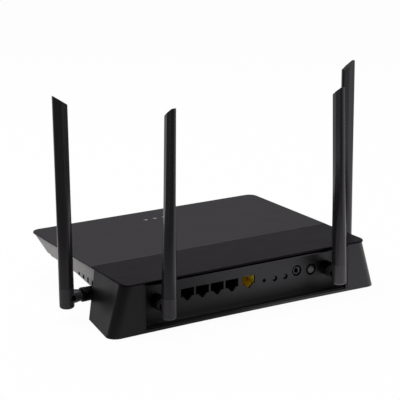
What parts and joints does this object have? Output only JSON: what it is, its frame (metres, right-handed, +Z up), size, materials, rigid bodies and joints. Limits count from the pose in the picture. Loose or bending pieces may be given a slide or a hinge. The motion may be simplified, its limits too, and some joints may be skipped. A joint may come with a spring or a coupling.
{
  "type": "wireless router",
  "caption": "Wedge-shaped home wireless router with a flared rear housing, a recessed socket panel and four blade antennas that swivel and fold.",
  "frame": {"origin": "centre of the overall box in plan, at the level the feet stand on", "axes": "+X to the right seen from the front, +Y towards the sockets, +Z up"},
  "size_m": [0.2884, 0.1922, 0.1852],
  "materials": {
    "cover_textured": "fine-grained black plastic",
    "cover_smooth": "smooth satin black plastic",
    "shell_grey": "satin light grey plastic",
    "housing_black": "satin black plastic",
    "panel_black": "satin black plastic",
    "jack_black": "black plastic",
    "jack_yellow": "yellow plastic",
    "contact_gold": "gold-plated contacts",
    "clear_plastic": "clear light-pipe plastic",
    "board_green": "solder-masked board",
    "tin": "tinned steel",
    "heat_aluminium": "plain aluminium",
    "button_black": "satin black plastic",
    "switch_black": "black plastic",
    "foot_rubber": "black rubber",
    "screw_steel": "zinc-plated steel",
    "antenna_black": "satin black plastic",
    "swivel_black": "black plastic",
    "lead_black": "black coax jacket"
  },
  "bodies": {
    "router": {"top_cover": "cover_textured", "rear_cover_band": "cover_smooth", "lower_shell": "shell_grey", "rear_housing": "housing_black", "io_panel": "panel_black", "led_lens_bar": "clear_plastic", "light_guide": "clear_plastic", "main_board": "board_green", "lan_jack_block": "jack_black", "wan_jack": "jack_yellow", "lan_contacts_1": "contact_gold", "lan_contacts_2": "contact_gold", "lan_contacts_3": "contact_gold", "lan_contacts_4": "contact_gold", "wan_contacts": "contact_gold", "dc_jack": "jack_black", "dc_pin": "tin", "power_switch": "switch_black", "wps_switch": "switch_black", "wifi_switch": "switch_black", "reset_switch": "switch_black", "rf_shield": "tin", "heat_spreader": "heat_aluminium", "lan_transformer": "switch_black", "front_foot_right": "foot_rubber", "rear_foot_right": "foot_rubber", "front_screw_right": "screw_steel", "rear_screw_right": "screw_steel", "front_foot_left": "foot_rubber", "rear_foot_left": "foot_rubber", "front_screw_left": "screw_steel", "rear_screw_left": "screw_steel", "antenna_mount_side_right": "swivel_black", "antenna_lead_side_right": "lead_black", "antenna_mount_rear_right": "swivel_black", "antenna_lead_rear_right": "lead_black", "antenna_mount_rear_left": "swivel_black", "antenna_lead_rear_left": "lead_black", "antenna_mount_side_left": "swivel_black", "antenna_lead_side_left": "lead_black"},
    "power_button": {"power_button": "button_black"},
    "wps_button": {"wps_button": "button_black"},
    "wifi_button": {"wifi_button": "button_black"},
    "reset_button": {"reset_button": "button_black"},
    "swivel_side_right": {"antenna_swivel_side_right": "swivel_black", "hinge_pin_side_right": "swivel_black"},
    "blade_side_right": {"antenna_blade_side_right": "antenna_black", "antenna_element_side_right": "board_green"},
    "swivel_rear_right": {"antenna_swivel_rear_right": "swivel_black", "hinge_pin_rear_right": "swivel_black"},
    "blade_rear_right": {"antenna_blade_rear_right": "antenna_black", "antenna_element_rear_right": "board_green"},
    "swivel_rear_left": {"antenna_swivel_rear_left": "swivel_black", "hinge_pin_rear_left": "swivel_black"},
    "blade_rear_left": {"antenna_blade_rear_left": "antenna_black", "antenna_element_rear_left": "board_green"},
    "swivel_side_left": {"antenna_swivel_side_left": "swivel_black", "hinge_pin_side_left": "swivel_black"},
    "blade_side_left": {"antenna_blade_side_left": "antenna_black", "antenna_element_side_left": "board_green"}
  },
  "joints": [
    {"name": "power_press", "type": "slide", "parent": "router", "child": "power_button", "axis": [0, -1, 0], "range_m": [0, 0.0015], "stiffness_N_per_m": 800},
    {"name": "wps_press", "type": "slide", "parent": "router", "child": "wps_button", "axis": [0, -1, 0], "range_m": [0, 0.0006], "stiffness_N_per_m": 1200},
    {"name": "wifi_press", "type": "slide", "parent": "router", "child": "wifi_button", "axis": [0, -1, 0], "range_m": [0, 0.0006], "stiffness_N_per_m": 1200},
    {"name": "reset_press", "type": "slide", "parent": "router", "child": "reset_button", "axis": [0, -1, 0], "range_m": [0, 0.0006], "stiffness_N_per_m": 1200},
    {"name": "swivel_side_right", "type": "hinge", "parent": "router", "child": "swivel_side_right", "pos_m": [0.1335, 0.02213, 0.0201], "axis": [-1, 0, 0], "range_deg": [-85, 85]},
    {"name": "fold_side_right", "type": "hinge", "parent": "swivel_side_right", "child": "blade_side_right", "pos_m": [0.1335, 0.02213, 0.0201], "axis": [0, 1, 0], "range_deg": [0, 90]},
    {"name": "swivel_rear_right", "type": "hinge", "parent": "router", "child": "swivel_rear_right", "pos_m": [0.0817, 0.08633, 0.0218], "axis": [0, 1, 0], "range_deg": [-70, 70]},
    {"name": "fold_rear_right", "type": "hinge", "parent": "swivel_rear_right", "child": "blade_rear_right", "pos_m": [0.0817, 0.08633, 0.0218], "axis": [-0.9999, 0, -0.0157], "range_deg": [0, 90]},
    {"name": "swivel_rear_left", "type": "hinge", "parent": "router", "child": "swivel_rear_left", "pos_m": [-0.0817, 0.08633, 0.0218], "axis": [0, 1, 0], "range_deg": [-70, 70]},
    {"name": "fold_rear_left", "type": "hinge", "parent": "swivel_rear_left", "child": "blade_rear_left", "pos_m": [-0.0817, 0.08633, 0.0218], "axis": [-0.9995, 0, 0.0314], "range_deg": [0, 90]},
    {"name": "swivel_side_left", "type": "hinge", "parent": "router", "child": "swivel_side_left", "pos_m": [-0.1335, 0.02213, 0.0201], "axis": [-1, 0, 0], "range_deg": [-85, 85]},
    {"name": "fold_side_left", "type": "hinge", "parent": "swivel_side_left", "child": "blade_side_left", "pos_m": [-0.1335, 0.02213, 0.0201], "axis": [0, -0.9998, -0.0209], "range_deg": [0, 90]}
  ]
}
